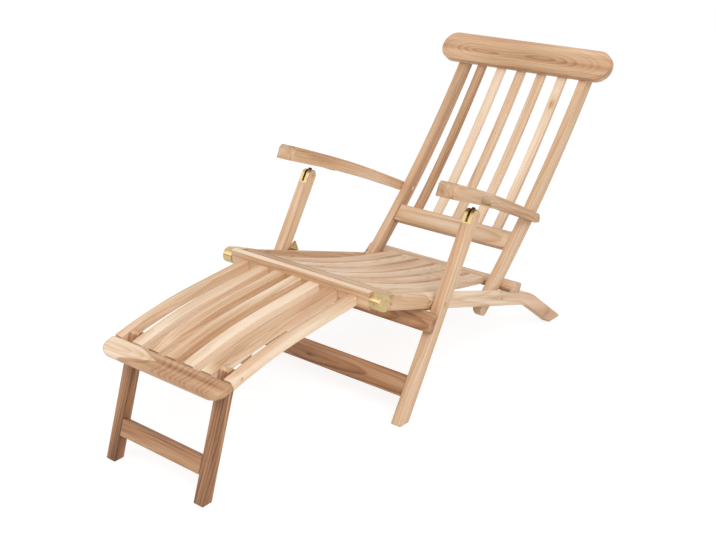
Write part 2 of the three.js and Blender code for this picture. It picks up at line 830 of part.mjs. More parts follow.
function rack(sign) {
  const start = -armLength * rackRearShare;
  const mid = rackCentreShare();
  const low = armCentre(mid).y - armDepth(mid) / 2;
  const strip = crossBar(start - rackLength, low, rackLength, rackThickness, rackWidth, sign * legX, 0, brassEase);
  const pitch = rackLength / rackNotches;
  const notches = [];
  for (let i = 0; i < rackNotches; i++) {
    const along = start - (i + 0.5) * pitch - rackNotchLength / 2;
    notches.push(crossBar(along, low - rackThickness, rackNotchLength, 3 * rackThickness,
      rackWidth / 2, sign * legX, 0, 0));
  }
  return cut(strip, ...notches);
}

const armBolts = bodyAt(chair, armPivot, 0);

function armBolt(sign) {
  const outer = armInner + armRearWidth - boltHeadHeight;
  const inner = stileInner - fitGap;
  const length = outer - inner;
  return join(
    pinAcross(boltRadius, length, sign * (inner + length / 2), 0, 0),
    pinAcross(boltHeadRadius, boltHeadHeight, sign * (inner - boltHeadHeight / 2), 0, 0, 20),
  );
}

function buildArms() {
  for (const { name, sign } of sides) {
    teak(arms, "arm_" + name, arm(sign));
    brass(arms, "arm_rack_" + name, rack(sign));
    brass(armBolts, "arm_bolt_" + name, armBolt(sign));
    brass(backBolts, "back_bolt_" + name, backBolt(sign));
  }
}

// Footrest: a bullnosed rear rail in the hinge, curved members and an end board
const footrest = bodyAt(chair, seatPivot, footrestSlope);
const footrestPlace = (along) => {
  const bent = Math.max(0, along - footrestStraight);
  const straight = along - bent;
  const turn = bent / footrestRadius;
  return point(-straight - footrestRadius * Math.sin(turn), -footrestRadius * (1 - Math.cos(turn)));
};
const footrestTurn = (along) => Math.max(0, along - footrestStraight) / footrestRadius;
const footrestRailFront = footrestRailWidth - hingeRoundRadius;

// The rear edge is rounded about the hinge so that it turns clear of the seat's front rail
function footrestRearRail() {
  const low = footrestTopRise - footrestRailHeight;
  const roundStart = Math.asin(low / hingeRoundRadius);
  const roundEnd = Math.asin(footrestTopRise / hingeRoundRadius);
  const outline = new THREE.Shape();
  outline.moveTo(-footrestRailFront, low);
  outline.absarc(0, 0, hingeRoundRadius, roundStart, roundEnd, false);
  outline.lineTo(-footrestRailFront, footrestTopRise);
  outline.closePath();
  const bar = across(outline, seatInnerWidth, 0, timberEase, 8);
  const bores = sides.map(({ sign }) =>
    pinAcross(hingePinRadius + fitGap, 2 * hingePinDepth + fitGap, sign * railInner, 0, 0));
  return cut(bar, ...bores);
}

const footrestRun = footrestLength - endBoardDepth;

function footrestMember(height, width, x) {
  const start = footrestRailFront + fitGap;
  const run = footrestRun - fitGap - start;
  const centre = (share) => {
    const along = start + run * share;
    const turn = footrestTurn(along);
    return footrestPlace(along)
      .addScaledVector(point(-Math.sin(turn), Math.cos(turn)), footrestTopRise - height / 2);
  };
  const outline = bentOutline((share) => centre(1 - share), () => height, 12);
  return across(outline, width, x);
}

function endBoard() {
  const half = endBoardDepth / 2;
  const length = 2 * (footrestRailX + footrestRailThickness / 2 + endBoardOverhang);
  const shape = roundedOutline(rectangle(-length / 2, -half, length, endBoardDepth),
    [endBoardFrontRadius, endBoardFrontRadius, endBoardRearRadius, endBoardRearRadius]);
  const middle = footrestRun + half;
  const geometry = upright(shape, endBoardThickness, footrestTopRise - endBoardThickness, endBoardRound,
    6, endBoardRoundSteps);
  geometry.rotateX(footrestTurn(middle));
  const place = footrestPlace(middle);
  geometry.translate(0, place.x, place.y);
  return geometry;
}

const footrestLegPlace = (() => {
  const turn = footrestTurn(footrestLegAlong);
  return footrestPlace(footrestLegAlong)
    .addScaledVector(point(-Math.sin(turn), Math.cos(turn)), footrestTopRise - footrestMemberHeight / 2);
})();
const footrestLegPivot = seatPivot.clone().add(turned(footrestLegPlace, footrestSlope));
const footrestLegs = bodyAt(chair, footrestLegPivot, -footrestLegLean);
const footrestLegHalf = footrestLegDepth / 2;

function footrestLeg(sign) {
  const drop = (side) =>
    (footrestLegPivot.y - side * Math.sin(footrestLegLean)) / Math.cos(footrestLegLean);
  const outline = roundedOutline(
    [
      point(footrestLegHalf, -drop(footrestLegHalf)),
      point(footrestLegHalf, footrestLegHalf),
      point(-footrestLegHalf, footrestLegHalf),
      point(-footrestLegHalf, -drop(-footrestLegHalf)),
    ],
    [footChamfer / 2, footrestLegHalf - fitGap, footrestLegHalf - fitGap, footChamfer / 2],
  );
  const body = across(outline, footrestLegThickness, sign * footrestLegX, timberEase, 6);
  return cut(body, pinAcross(boltRadius + fitGap, 2 * footrestLegThickness, sign * footrestLegX, 0, 0));
}

function footrestLegPin(sign) {
  const outer = footrestRailX + footrestRailThickness / 2;
  const inner = footrestLegInner - fitGap;
  const length = outer - inner - fitGap;
  const geometry = pinAcross(boltRadius, length, sign * (inner + length / 2), 0, 0);
  return geometry;
}

function buildFootrest() {
  teak(footrest, "footrest_rear_rail", footrestRearRail());
  const pinTurn = -footrestSlope;
  for (const { name, sign } of sides) {
    const x = sign * footrestRailX;
    const bore = pinAcross(boltRadius + fitGap, 2 * footrestRailThickness, x,
      footrestLegPlace.x, footrestLegPlace.y);
    teak(footrest, "footrest_rail_" + name, cut(footrestMember(footrestMemberHeight, footrestRailThickness, x), bore));
    brass(footrest, "footrest_hinge_pin_" + name, hingePin(sign).rotateX(pinTurn));
    teak(footrestLegs, "footrest_leg_" + name, footrestLeg(sign));
    brass(footrestLegs, "footrest_leg_pin_" + name, footrestLegPin(sign));
  }
  const first = -(footrestSlatCount - 1) / 2;
  for (let i = 0; i < footrestSlatCount; i++) {
    teak(footrest, "footrest_slat_" + (i + 1),
      footrestMember(footrestSlatThickness, footrestSlatWidth, (first + i) * footrestPitch));
  }
  teak(footrest, "footrest_end_board", endBoard());
  const reach = footrestLegPivot.y / Math.cos(footrestLegLean);
  const width = 2 * (footrestLegInner - fitGap);
  teak(footrestLegs, "footrest_stretcher",
    crossBar(-footrestLegHalf + fitGap, footrestStretcherRise - reach, footrestStretcherThickness,
      footrestStretcherHeight, width));
}

buildSeat();
for (const { name, sign } of sides) {
  brass(seat, "hinge_cap_" + name, hingeCap(sign));
}
buildLegs();
buildBack();
buildArms();
buildFootrest();

// The origin lies under the middle of the chair
chair.updateMatrixWorld(true);
const middle = new THREE.Box3().setFromObject(chair, true).getCenter(new THREE.Vector3());
chair.position.y = -middle.y;

export default chair;
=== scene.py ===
"""Steamer deck chair: teak boards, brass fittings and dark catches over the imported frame."""
import itertools
import json
import math

import bmesh
import bpy
import numpy as np
from bpy.props import FloatProperty, FloatVectorProperty, PointerProperty
from mathutils import Matrix, Vector


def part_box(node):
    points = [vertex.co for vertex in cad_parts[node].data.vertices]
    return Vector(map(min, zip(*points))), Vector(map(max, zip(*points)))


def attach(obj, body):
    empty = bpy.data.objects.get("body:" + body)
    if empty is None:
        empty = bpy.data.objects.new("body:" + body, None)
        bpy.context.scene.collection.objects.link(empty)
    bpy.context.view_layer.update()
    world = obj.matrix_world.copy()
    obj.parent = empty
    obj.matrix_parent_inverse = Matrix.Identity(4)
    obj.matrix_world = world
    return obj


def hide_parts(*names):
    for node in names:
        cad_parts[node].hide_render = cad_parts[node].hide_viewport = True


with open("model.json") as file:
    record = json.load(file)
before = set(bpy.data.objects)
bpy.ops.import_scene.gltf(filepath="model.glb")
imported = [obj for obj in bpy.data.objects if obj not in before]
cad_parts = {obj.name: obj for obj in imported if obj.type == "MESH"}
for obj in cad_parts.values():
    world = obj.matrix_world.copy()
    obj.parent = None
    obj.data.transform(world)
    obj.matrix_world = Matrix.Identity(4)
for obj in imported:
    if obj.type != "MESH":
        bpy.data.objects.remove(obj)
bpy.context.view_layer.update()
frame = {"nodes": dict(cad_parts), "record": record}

bl_info = {
    "name": "Steamer deck chair",
    "version": (1, 0, 0),
    "blender": (4, 5, 0),
    "location": "3D View > Sidebar > Deck chair",
    "description": "Dresses the deck chair's frame in teak and brass",
    "category": "Object",
}

MILLIMETRE = 0.001
PHOTO_WIDTH = 716  # pixels

# Edges of a fitting and of a screw that are sharper than this stay crisp
FITTING_EDGE_ANGLE = math.radians(38)
SCREW_EDGE_ANGLE = math.radians(35)


def tint(red, green, blue):
    """A screen colour, 0 to 255, as the linear colour that shaders use."""
    def linear(level):
        level /= 255
        return level / 12.92 if level <= 0.04045 else ((level + 0.055) / 1.055) ** 2.4

    return linear(red), linear(green), linear(blue)


def colour_property(name, description, default):
    return FloatVectorProperty(
        name=name, description=description, subtype="COLOR", size=3, min=0, max=1, default=default
    )


def length_property(name, description, default):
    return FloatProperty(name=name, description=description, unit="LENGTH", default=default)


class TeakFinish(bpy.types.PropertyGroup):
    pale: colour_property("Sapwood", "Colour of the palest boards", tint(240, 217, 191))
    mid: colour_property("Plain teak", "Colour of most of a board", tint(213, 177, 141))
    brown: colour_property("Heart", "Colour of the brown streaks", tint(166, 120, 84))
    deep: colour_property("Dark lines", "Colour of knots and the darkest lines", tint(98, 62, 40))
    contrast: FloatProperty(
        name="Band contrast", description="How far broad bands differ from the board's tone",
        default=0.95,
    )
    ring_width: length_property("Ring width", "Distance between growth rings", 7.2 * MILLIMETRE)
    edge_angle: FloatProperty(
        name="Edge angle", description="Edges sharper than this stay crisp", subtype="ANGLE",
        default=math.radians(52),
    )


class MetalFinish(bpy.types.PropertyGroup):
    brass: colour_property("Brass", "Colour of polished brass", tint(207, 183, 134))
    tarnish: colour_property("Tarnish", "Colour in the dull patches", tint(162, 130, 76))
    iron: colour_property("Iron", "Colour of the dark catches", tint(52, 42, 36))
    screw_radius: length_property(
        "Screw head radius", "Radius of a screw head", 3.2 * MILLIMETRE
    )


class BoardShapes(bpy.types.PropertyGroup):
    arm_edge: length_property(
        "Arm edge radius", "How round the arms' upper edges are", 6.5 * MILLIMETRE
    )
    arm_end: length_property("Arm end radius", "How round the arms' ends are", 9 * MILLIMETRE)
    slat_drop: length_property(
        "Footrest slat drop", "How far the footrest's slats reach below the solids",
        4 * MILLIMETRE,
    )
    stretcher_rise: length_property(
        "Stretcher rise", "How far the footrest's stretcher reaches above the solid",
        14.5 * MILLIMETRE,
    )
    stretcher_drop: length_property(
        "Stretcher drop", "How far the footrest's stretcher reaches below the solid",
        3 * MILLIMETRE,
    )
    rail_edge: length_property(
        "Rail edge", "How far the edges of the footrest's rear rail are eased", 1.2 * MILLIMETRE
    )


class StageLook(bpy.types.PropertyGroup):
    world: FloatProperty(
        name="Sky", description="Strength of the light from all sides", default=0.66
    )
    key: FloatProperty(
        name="Key", description="Power of the large lamp on the right", unit="POWER", default=80.0
    )
    fill: FloatProperty(
        name="Fill", description="Power of the large lamp on the left", unit="POWER", default=22.0
    )
    lens: FloatProperty(name="Lens", description="Focal length", unit="CAMERA", default=55.56)


# Where the scene keeps each group
SETTINGS = {
    "chair_teak": TeakFinish,
    "chair_metal": MetalFinish,
    "chair_boards": BoardShapes,
    "chair_stage": StageLook,
}


# Shader and geometry node trees
class Wire:
    """An output socket; arithmetic on it adds Math nodes to its tree."""

    def __init__(self, tree, socket):
        self.tree, self.socket = tree, socket

    def math(self, operation, *others):
        return self.tree.node("ShaderNodeMath", {"operation": operation}, [self, *others])

    def __add__(self, other):
        return self.math("ADD", other)

    __radd__ = __add__

    def __sub__(self, other):
        return self.math("SUBTRACT", other)

    def __rsub__(self, other):
        return self.tree.node("ShaderNodeMath", {"operation": "SUBTRACT"}, [other, self])

    def __mul__(self, other):
        return self.math("MULTIPLY", other)

    __rmul__ = __mul__

    def __truediv__(self, other):
        return self.math("DIVIDE", other)


class Tree:
    """A node tree with one method that adds any node."""

    def __init__(self, nodes, links):
        self.nodes, self.links = nodes, links

    def put(self, socket, value):
        if isinstance(value, Wire):
            self.links.new(value.socket, socket)
        elif isinstance(value, (tuple, list)) and socket.type == "RGBA" and len(value) == 3:
            socket.default_value = (*value, 1)
        else:
            socket.default_value = value

    def node(self, kind, setup=None, values=(), output=0):
        made = self.nodes.new(kind)
        for name, value in (setup or {}).items():
            if name == "stops":
                ramp = made.color_ramp
                while len(ramp.elements) < len(value):
                    ramp.elements.new(1)
                for element, (place, colour) in zip(ramp.elements, value):
                    element.position = place
                    element.color = (*colour, 1) if len(colour) == 3 else colour
            else:
                setattr(made, name, value)
        pairs = values.items() if isinstance(values, dict) else enumerate(values)
        for key, value in pairs:
            self.put(made.inputs[key], value)
        return Wire(self, made.outputs[output])

    def parts(self, vector):
        split = self.node("ShaderNodeSeparateXYZ", values=[vector]).socket.node
        return [Wire(self, socket) for socket in split.outputs]

    def vector(self, x, y, z):
        return self.node("ShaderNodeCombineXYZ", values=[x, y, z])

    def object_place(self):
        return self.node("ShaderNodeTexCoord", output=3)

    def noise(self, vector, detail=2.0, rough=0.5, output=0):
        return self.node(
            "ShaderNodeTexNoise", {},
            {"Vector": vector, "Scale": 1.0, "Detail": detail, "Roughness": rough}, output,
        )

    def ramp(self, value, *stops, output=0):
        return self.node("ShaderNodeValToRGB", {"stops": stops}, [value], output)

    def mask(self, value, low, high):
        return self.node(
            "ShaderNodeMapRange", {"interpolation_type": "SMOOTHSTEP"},
            {"Value": value, "From Min": low, "From Max": high},
        )

    def mix(self, share, first, second, blend="MIX"):
        return self.node(
            "ShaderNodeMix", {"data_type": "RGBA", "blend_type": blend},
            {0: share, 6: first, 7: second}, 2,
        )

    def bump(self, height, strength, distance):
        return self.node(
            "ShaderNodeBump", {},
            {"Height": height, "Strength": strength, "Distance": distance},
        )


def new_material(name):
    """A new material, its node tree and its main shader."""
    material = bpy.data.materials.new(name)
    material.use_nodes = True
    tree = Tree(material.node_tree.nodes, material.node_tree.links)
    surface = next(n for n in tree.nodes if n.type == "BSDF_PRINCIPLED")
    return material, tree, surface


def feed(tree, surface, **values):
    """Sets or links a shader's inputs; an underscore stands for a space in their names."""
    for name, value in values.items():
        tree.put(surface.inputs[name.replace("_", " ")], value)


def in_plain_view(tree):
    """1 for rays from the camera, off gloss and through glass, and 0 for the light itself."""
    path = tree.node("ShaderNodeLightPath").socket.node
    camera, gloss, glass = (
        Wire(tree, path.outputs[name])
        for name in ("Is Camera Ray", "Is Glossy Ray", "Is Transmission Ray")
    )
    return camera.math("MAXIMUM", gloss).math("MAXIMUM", glass)


# Materials, with the scales of their noises per metre
def teak_material(teak):
    """Sawn teak: rings arched round a wandering pith, heartwood, knots, streaks and fine pores."""
    material, tree, surface = new_material("sawn_teak")

    def mark(name, output=1):
        return tree.node("ShaderNodeAttribute", {"attribute_name": name}, output=output)

    along, across, deep = tree.parts(mark("grain"))
    start, side, depth = tree.parts(mark("slice"))
    tone, bow, crown = tree.parts(mark("look"))
    chevron, heart_gain, heart_slope = tree.parts(mark("heart"))
    knot_along, knot_across, knot_size = tree.parts(mark("knot"))
    cut, upward, top_tone = mark("cut", 2), mark("upward", 2), mark("top_tone", 2)
    run = along + start

    def figure(length_scale, width_scale, detail, rough=0.5, output=0):
        """Noise that is drawn out along the grain."""
        place = tree.vector(run * length_scale, across * width_scale, deep * width_scale)
        return tree.noise(place, detail, rough, output)

    # The pith wanders through the log, and the grain parts round a knot
    wander = tree.node(
        "ShaderNodeVectorMath", {"operation": "SUBTRACT"},
        [figure(3.1, 4, 1.0, output=1), (0.5, 0.5, 0.5)],
    )
    sway, lift, _ = tree.parts(wander)
    knot_x, knot_y = along - knot_along, across - knot_across
    knot_far = (knot_x * knot_x * 0.25 + knot_y * knot_y).math("SQRT") / (knot_size + 0.00001)
    knot_core, near_knot = tree.mask(knot_far, 1.5, 0.3), tree.mask(knot_far, 3.2, 0.4)

    # Growth rings round the pith; late wood is their dark side, and some years show none
    from_crown = along - crown
    arch = bow * (from_crown * from_crown)
    ring_side = across + side + sway * 0.026 + near_knot * knot_size * 1.4
    ring_deep = deep + depth + arch + lift * 0.034
    radius = (ring_side * ring_side + ring_deep * ring_deep).math("SQRT")
    ripple = figure(9, 60, 2.0) - 0.5
    rings = (radius + ripple * 0.0030) / teak.ring_width
    phase = rings.math("FRACT")
    late = tree.mask(phase, 0.30, 0.90) * (1 - tree.mask(phase, 0.93, 1.0))
    year = tree.noise(tree.vector(rings.math("FLOOR") * 0.77, start * 9, 0.0), 0.0)
    late = late * tree.mask(year, 0.28, 0.62)

    # Figures from the broadest to the finest
    patch = figure(2.1, 7, 2.0) - 0.5
    band = figure(1.3, 34, 3.0, 0.55) - 0.5
    streak = figure(4, 210, 3.0, 0.6) - 0.5
    fibre = figure(34, 1300, 2.0, 0.6) - 0.5
    pores = tree.mask(figure(60, 1700, 1.0), 0.60, 0.70)
    edge = along + across.math("ABSOLUTE") * heart_slope + sway * 0.05
    heart = tree.mask(edge - chevron, -0.006, 0.006) * heart_gain

    # 0 is the palest wood and 1 the darkest; faces that look up add painted top shading, painted
    # shade where it is positive and painted light where it is negative
    level = (tone + upward * top_tone + heart + band * teak.contrast + patch * 0.40
             + streak * 0.26 + late * 0.16 + fibre * 0.09 + pores * 0.08
             + knot_core * 0.30 + near_knot * 0.10)
    colour = tree.ramp(
        level,
        (0.0, teak.pale), (0.36, teak.mid), (0.74, teak.brown), (1.0, teak.deep),
    )
    blush = tree.mask(figure(2.4, 11, 1.0), 0.42, 0.66)
    colour = tree.mix(blush * 0.5, colour, (1.0, 0.91, 0.87), "MULTIPLY")
    colour = tree.mix(cut * 0.30, colour, (0.70, 0.62, 0.53), "MULTIPLY")
    relief = fibre * 0.5 + late * 0.5 - pores * 1.2
    feed(
        tree, surface,
        Base_Color=colour,
        Roughness=0.54 + fibre * 0.18 + pores * 0.12 - late * 0.06,
        Normal=tree.bump(relief, 0.35, 0.0003),
        Specular_IOR_Level=0.38,
    )
    return material


def brass_material(metal):
    """Polished brass with faint brushing and a few dull patches."""
    material, tree, surface = new_material("polished_brass")
    x, y, z = tree.parts(tree.object_place())
    cloud = tree.noise(tree.vector(x * 90, y * 90, z * 90), 3.0)
    scratch = tree.noise(tree.vector(x * 3000, y * 160, z * 900), 2.0)
    colour = tree.mix(tree.mask(cloud, 0.45, 0.95), tuple(metal.brass), tuple(metal.tarnish))
    feed(
        tree, surface,
        Base_Color=colour,
        Metallic=1.0,
        Roughness=0.30 + cloud * 0.12 + scratch * 0.08,
        Normal=tree.bump(scratch + cloud * 0.5, 0.12, 0.0002),
    )
    return material


def iron_material(metal):
    """Dark oiled iron."""
    material, tree, surface = new_material("oiled_iron")
    x, y, z = tree.parts(tree.object_place())
    grit = tree.noise(tree.vector(x * 700, y * 700, z * 700), 3.0)
    colour = tree.mix(tree.mask(grit, 0.4, 0.8), tuple(metal.iron), tint(92, 70, 54))
    feed(
        tree, surface,
        Base_Color=colour,
        Metallic=0.7,
        Roughness=0.42 + grit * 0.2,
        Normal=tree.bump(grit, 0.3, 0.0002),
    )
    return material


# What makes each finish, and the group of settings that it is made from
FINISHES = {
    "sawn_teak": (teak_material, "chair_teak"),
    "polished_brass": (brass_material, "chair_metal"),
    "oiled_iron": (iron_material, "chair_metal"),
}


def finish_of(name, context):
    """A finish is made once and shared by its pieces."""
    make, group = FINISHES[name]
    return bpy.data.materials.get(name) or make(getattr(context.scene, group))


# Meshes
def merged_copy(node):
    """A copy of a CAD node's mesh with its loose triangles joined."""
    mesh = frame["nodes"][node].data.copy()
    mesh.materials.clear()
    work = bmesh.new()
    work.from_mesh(mesh)
    bmesh.ops.remove_doubles(work, verts=work.verts, dist=0.02 * MILLIMETRE)
    bmesh.ops.dissolve_limit(
        work, angle_limit=math.radians(0.6), verts=work.verts, edges=work.edges,
        delimit={"NORMAL"},
    )
    work.to_mesh(mesh)
    work.free()
    for name in [layer.name for layer in mesh.uv_layers]:
        mesh.uv_layers.remove(mesh.uv_layers[name])
    return mesh


def linked(name, data):
    """A new object in the scene."""
    item = bpy.data.objects.new(name, data)
    bpy.context.scene.collection.objects.link(item)
    return item


def section_at(mesh, place):
    """The lowest and highest x and z of a mesh where the plane y = place cuts it."""
    level = 1e-7  # metres; an edge that rises less than this lies in the plane
    points = np.array([v.co for v in mesh.vertices])
    pairs = points[np.array([e.vertices[:] for e in mesh.edges])]
    first, second = pairs[:, 0], pairs[:, 1]
    rise = second[:, 1] - first[:, 1]
    over = ((first[:, 1] - place) * (second[:, 1] - place) <= 0) & (np.abs(rise) > level)
    first, second = first[over], second[over]
    share = ((place - first[:, 1]) / (second[:, 1] - first[:, 1]))[:, None]
    cuts = (first + (second - first) * share)[:, [0, 2]]
    return np.array([cuts.min(0), cuts.max(0)])


def rounded_outline(bounds, radius, steps=4):
    """Points round a rectangle whose lower corners have a quarter of the upper ones' radius."""
    (left, low), (right, high) = bounds
    under_half = 0.48
    radius = min(radius, under_half * (right - left), under_half * (high - low))
    small = radius * 0.25
    corners = (
        (right, high, -1, -1, radius), (left, high, 1, -1, radius),
        (left, low, 1, 1, small), (right, low, -1, 1, small),
    )
    return [
        (x + inward * r + r * math.cos(turn), z + upward * r + r * math.sin(turn))
        for quarter, (x, z, inward, upward, r) in enumerate(corners)
        for turn in ((quarter + i / steps) * math.pi / 2 for i in range(steps + 1))
    ]


def soft_form(mesh, radius, end_radius, stations=26, end_steps=6):
    """A rounded form that follows the sections of a long board lying along y."""
    ys = [v.co.y for v in mesh.vertices]
    near, far = min(ys), max(ys)
    first, last = near + end_radius, far - end_radius
    step, proud = 2 * MILLIMETRE, 0.03 * MILLIMETRE
    # Each row: where it lies, the two sections it is drawn from, and how far it is drawn in
    rows = []
    for i in range(end_steps + 1):
        turn = i / end_steps * math.pi / 2
        reach, inset = end_radius * (1 - math.cos(turn)), end_radius * (1 - math.sin(turn))
        rows.append((near + reach, first, first + step, inset))
        rows.append((far - reach, last, last - step, inset))
    for i in range(1, stations):
        y = first + (last - first) * i / stations
        rows.append((y, y, y + step, 0.0))
    points, faces = [], []
    rows.sort()
    for y, base, beside, inset in rows:
        here, there = section_at(mesh, base), section_at(mesh, beside)
        rise = (there[:, 1] - here[:, 1]) / (beside - base) * (y - base)
        bounds = here + [[-1, -1], [1, 1]] * np.array(proud - inset)
        bounds[:, 1] += rise
        points += [(x, y, z) for x, z in rounded_outline(bounds, radius)]
    count = len(points) // len(rows)
    for row in range(len(rows) - 1):
        for i in range(count):
            j = (i + 1) % count
            a, b = row * count, (row + 1) * count
            faces.append((a + i, a + j, b + j, b + i))
    faces.append(tuple(reversed(range(count))))
    faces.append(tuple(range(len(points) - count, len(points))))
    form = bpy.data.meshes.new("soft_form")
    form.from_pydata(points, [], faces)
    return form


def soften(mesh, radius, end_radius):
    """Rounds a board's outer edges and ends, and keeps its bores and housings."""
    form = soft_form(mesh, radius, end_radius)
    work = bmesh.new()
    work.from_mesh(form)
    bmesh.ops.recalc_face_normals(work, faces=work.faces)
    work.to_mesh(form)
    work.free()
    board, tool = linked("soft_board", mesh), linked("soft_tool", form)
    modifier = board.modifiers.new("Soften", "BOOLEAN")
    modifier.operation, modifier.object, modifier.solver = "INTERSECT", tool, "MANIFOLD"
    done = plain_mesh(board)
    for item in (board, tool):
        bpy.data.objects.remove(item)
    return done


def stretch(mesh, direction, below, above):
    """Moves the two ends of a mesh apart along a direction."""
    points = np.array([v.co for v in mesh.vertices])
    place = points @ np.array(direction)
    high = place > (place.min() + place.max()) / 2
    shift = np.where(high, above, -below)[:, None] * np.array(direction)
    mesh.vertices.foreach_set("co", (points + shift).astype(np.float32).ravel())
    mesh.update()


def bar_across(name, outline, reach, ease):
    """A bar across the chair from its side-view outline, with eased edges."""
    work = bmesh.new()
    ends = [[work.verts.new((x, y, z)) for y, z in outline] for x in (-reach, reach)]
    work.faces.new(ends[0])
    work.faces.new(list(reversed(ends[1])))
    for i in range(len(outline)):
        j = (i + 1) % len(outline)
        work.faces.new((ends[0][j], ends[0][i], ends[1][i], ends[1][j]))
    bmesh.ops.recalc_face_normals(work, faces=work.faces)
    sharp = [e for e in work.edges if e.calc_face_angle(0) > math.radians(30)]
    bmesh.ops.bevel(
        work, geom=sharp, offset=ease, offset_type="OFFSET", segments=2, profile=0.5,
        affect="EDGES", clamp_overlap=True,
    )
    mesh = bpy.data.meshes.new(name)
    work.to_mesh(mesh)
    work.free()
    return mesh


def grain_frame(mesh):
    """The board's middle and its long, wide and thin directions, from its faces."""
    centres = np.array([f.center for f in mesh.polygons])
    areas = np.array([f.area for f in mesh.polygons])
    middle = (centres * areas[:, None]).sum(0) / areas.sum()
    spread = (centres - middle) * np.sqrt(areas)[:, None]
    _, axes = np.linalg.eigh(spread.T @ spread)
    axes = axes[:, ::-1].T
    return middle, np.array([a * np.sign(a[np.argmax(np.abs(a))]) for a in axes])


def store(mesh, name, kind, domain, values):
    """Stores values as an attribute of a mesh."""
    layer = mesh.attributes.new(name, kind, domain)
    field = "vector" if kind == "FLOAT_VECTOR" else "value"
    layer.data.foreach_set(field, np.asarray(values, np.float32).ravel())


def mark_grain(mesh):
    """Stores each point's place in its board and what is cut across the grain or faces up."""
    middle, axes = grain_frame(mesh)
    points = np.array([v.co for v in mesh.vertices])
    store(mesh, "grain", "FLOAT_VECTOR", "POINT", (points - middle) @ axes.T)
    normals = np.array([f.normal for f in mesh.polygons])
    store(mesh, "cut", "FLOAT", "FACE", np.abs(normals @ axes[0]) > 0.75)
    # Faces that look up are marked to take the painted top shading
    store(mesh, "upward", "FLOAT", "POINT", [v.normal.z > 0.65 for v in mesh.vertices])


def shade(mesh, angle):
    """Smooth shading that leaves edges crisp where they are sharper than an angle."""
    mesh.shade_smooth()
    mesh.set_sharp_from_angle(angle=angle)


def plain_mesh(piece):
    """Applies what is live on the piece, so that a plain mesh is left."""
    graph = bpy.context.evaluated_depsgraph_get()
    done = bpy.data.meshes.new_from_object(
        piece.evaluated_get(graph), preserve_all_data_layers=True, depsgraph=graph
    )
    piece.modifiers.clear()
    piece.data = done
    return done


def weigh_normals(piece):
    """Broad faces stay flat and the eased edges look round."""
    modifier = piece.modifiers.new("Even shading", "WEIGHTED_NORMAL")
    modifier.keep_sharp = True
    plain_mesh(piece)


def add_piece(name, mesh, body, material):
    """A finished piece that rides on a body and takes its finish from a slot."""
    mesh.name = name
    mesh.materials.clear()
    mesh.materials.append(material)
    piece = linked(name, mesh)
    weigh_normals(piece)
    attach(piece, body)
    return piece


# Each board's marks, in this order:
# its tone, 0 for pale and 1 for dark;
# its place in the log: along it in metres, across and deep in millimetres;
# how its rings arch, and where along the board the arch has its crown;
# its heartwood, which starts at a chevron: place along the board, how much darker, and slope;
# its knot: place along and across, and size;
# painted shading on its upper face: painted shade where positive, painted light where negative.
NO_HEART, NO_KNOT = (9.0, 0.0, 0.0), (0.0, 0.0, 0.0)
BOARDS = {
    # The left seat rail's last number is painted light on its upper face
    "seat_rail_left": (0.46, (0.3, 22, 46), (0.10, 0.0), (-0.24, -0.26, 0.6), NO_KNOT, -0.20),
    "seat_rail_right": (0.28, (1.7, 14, 60), (0.15, 0.0)),
    "seat_front_rail": (0.44, (2.9, 40, 20), (0.2, 0.0)),
    "seat_rear_rail": (0.30, (3.3, 30, 44), (0.2, 0.0)),
    "leg_left": (0.34, (4.1, 44, 18), (0.1, 0.0)),
    "leg_right": (0.34, (5.6, 52, 12), (0.2, 0.0)),
    "leg_upper_stretcher": (0.52, (6.3, 12, 38), (0.08, 0.0)),
    "leg_lower_stretcher": (0.62, (7.7, 6, 32), (0.12, 0.0)),
    "back_stile_left": (0.31, (8.2, 36, 26), (0.05, 0.0)),
    "back_stile_right": (0.44, (9.4, 28, 34), (0.05, 0.0)),
    "back_lower_rail": (0.26, (10.6, 8, 26), (0.2, 0.0)),
    "headrest": (0.44, (11.3, 4, 6), (0.55, -0.03)),
    "arm_left": (0.40, (12.5, 34, 62), (0.12, 0.1)),
    "arm_right": (0.28, (13.8, 30, 66), (0.12, -0.1)),
    # Painted top shading: painted light on the rear rail's upper face, painted shade on the left
    # rail's
    "footrest_rear_rail": (0.31, (14.2, 30, 30), (0.1, 0.0), NO_HEART, NO_KNOT, -0.34),
    "footrest_rail_left": (0.17, (15.1, 26, 30), (0.1, 0.0), NO_HEART, NO_KNOT, 0.20),
    "footrest_rail_right": (0.30, (16.9, 30, 26), (0.1, 0.0)),
    "footrest_end_board": (0.06, (17.4, 2, 4), (0.9, -0.17), (-0.02, 0.42, 3.4)),
    # The footrest legs' dark tone is partly their own brown teak and partly painted shade under
    # the footrest; their upper faces have painted light
    "footrest_leg_left": (0.74, (18.8, 34, 20), (0.1, 0.0), NO_HEART, NO_KNOT, -0.34),
    "footrest_leg_right": (0.75, (19.3, 40, 12), (0.1, 0.0), NO_HEART, NO_KNOT, -0.30),
    "footrest_stretcher": (0.60, (20.7, 18, 30), (0.3, 0.0)),
}


def board_marks(tone, place, arch, heart=NO_HEART, knot=NO_KNOT, top=0.0):
    """One board's entries of the attributes that its finish reads."""
    start, side, depth = place
    return (start, side * MILLIMETRE, depth * MILLIMETRE), (tone, *arch), heart, knot, top


def store_marks(mesh, marks):
    """Stores the marks of each point's board for the teak to read."""
    *vectors, tops = zip(*marks)
    for name, values in zip(("slice", "look", "heart", "knot"), vectors):
        store(mesh, name, "FLOAT_VECTOR", "POINT", values)
    store(mesh, "top_tone", "FLOAT", "POINT", tops)


def dress_boards(context, body, *nodes, shape=None):
    """Dresses boards as packed, or as shape makes or changes their meshes."""
    teak = context.scene.chair_teak
    material = finish_of("sawn_teak", context)
    for node in nodes:
        mesh = merged_copy(node)
        if shape:
            mesh = shape(mesh) or mesh
        mark_grain(mesh)
        store_marks(mesh, [board_marks(*BOARDS[node])] * len(mesh.vertices))
        shade(mesh, teak.edge_angle)
        piece = add_piece(node + "_board", mesh, body, material)
        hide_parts(node)


